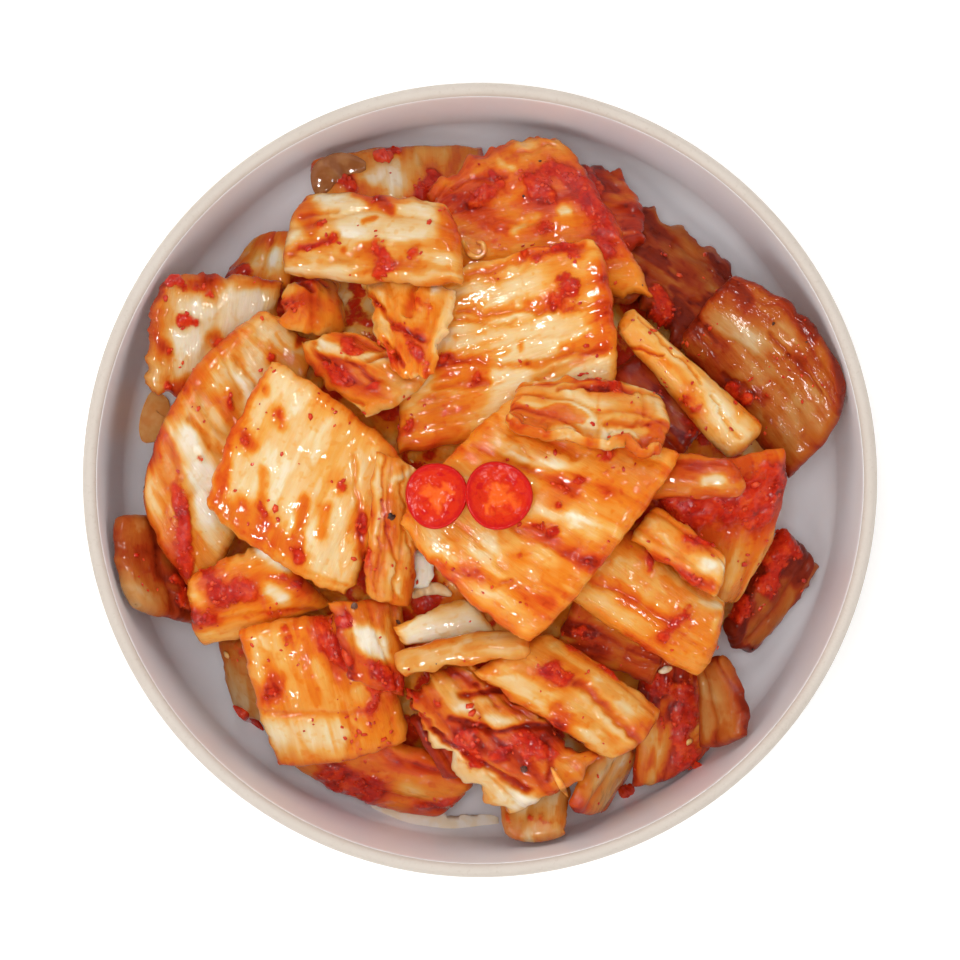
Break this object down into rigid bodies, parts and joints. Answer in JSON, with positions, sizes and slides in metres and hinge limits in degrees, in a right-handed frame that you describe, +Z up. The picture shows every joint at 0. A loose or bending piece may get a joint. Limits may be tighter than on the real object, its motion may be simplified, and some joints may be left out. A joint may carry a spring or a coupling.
{
  "type": "kimchi in a round stoneware bowl",
  "caption": "Cut cabbage kimchi in red chilli paste, heaped in a round pale stoneware side-dish bowl with red chilli slices on top.",
  "frame": {"origin": "middle of the bowl's foot, on the table", "axes": "+Z up out of the bowl, +X to the right and +Y away from a diner who sits before it"},
  "size_m": [0.1562, 0.1562, 0.0551],
  "materials": {
    "stoneware_glazed": "warm white glaze inside the bowl, glossy with a soft satin edge",
    "stoneware_bare": "bare beige stoneware of the rim, outside and foot, fine matte grain",
    "cabbage_pale": "cream white cabbage rib, wet, translucent at the edges, orange in the grooves",
    "cabbage_amber": "orange to amber pickled cabbage, wet and translucent",
    "cabbage_red": "cabbage leaf coated in dark red chilli paste, wet",
    "soaked_leaf": "deep red-brown soaked leaf in the gaps of the heap, wet",
    "chilli": "fresh red chilli slice, glossy skin and flesh",
    "sauce": "chilli paste, flakes and juice, wet and glossy"
  },
  "bodies": {
    "root": {"bowl": "stoneware_glazed", "chilli_left": "chilli", "chilli_right": "chilli", "cut_behind_square": "cabbage_amber", "cut_bottom_amber": "cabbage_amber", "cut_bottom_left": "cabbage_amber", "cut_bottom_pale": "cabbage_amber", "cut_bottom_strip": "cabbage_amber", "cut_centre": "cabbage_amber", "cut_crumpled_flap": "cabbage_amber", "cut_crumpled_left": "cabbage_red", "cut_crumpled_low": "cabbage_red", "cut_edge_back": "cabbage_pale", "cut_edge_front": "cabbage_pale", "cut_far_right": "cabbage_amber", "cut_left_folded": "cabbage_amber", "cut_left_ribbed": "cabbage_amber", "cut_left_soaked": "cabbage_red", "cut_left_square": "cabbage_pale", "cut_low_folded": "cabbage_amber", "cut_low_ribs": "cabbage_pale", "cut_lower_left_scrap": "cabbage_red", "cut_lower_left_square": "cabbage_amber", "cut_lower_right_dark": "cabbage_red", "cut_lower_right_tan": "cabbage_amber", "cut_middle_ribbed": "cabbage_pale", "cut_pocket_back": "cabbage_pale", "cut_pocket_front": "cabbage_pale", "cut_right_shell": "cabbage_amber", "cut_right_small": "cabbage_amber", "cut_right_thick": "cabbage_amber", "cut_rolled_lip": "cabbage_red", "cut_top_orange": "cabbage_amber", "cut_top_side": "cabbage_red", "cut_under_low": "cabbage_red", "cut_under_low_right": "cabbage_red", "cut_under_right": "cabbage_red", "cut_upper_right_dark": "cabbage_red", "cut_veined": "cabbage_amber", "cut_white_fan": "cabbage_pale", "cut_white_large": "cabbage_pale", "heap_core": "soaked_leaf", "scrap_white": "cabbage_pale", "stalk_back": "cabbage_amber", "stalk_split": "cabbage_pale"}
  },
  "joints": []
}
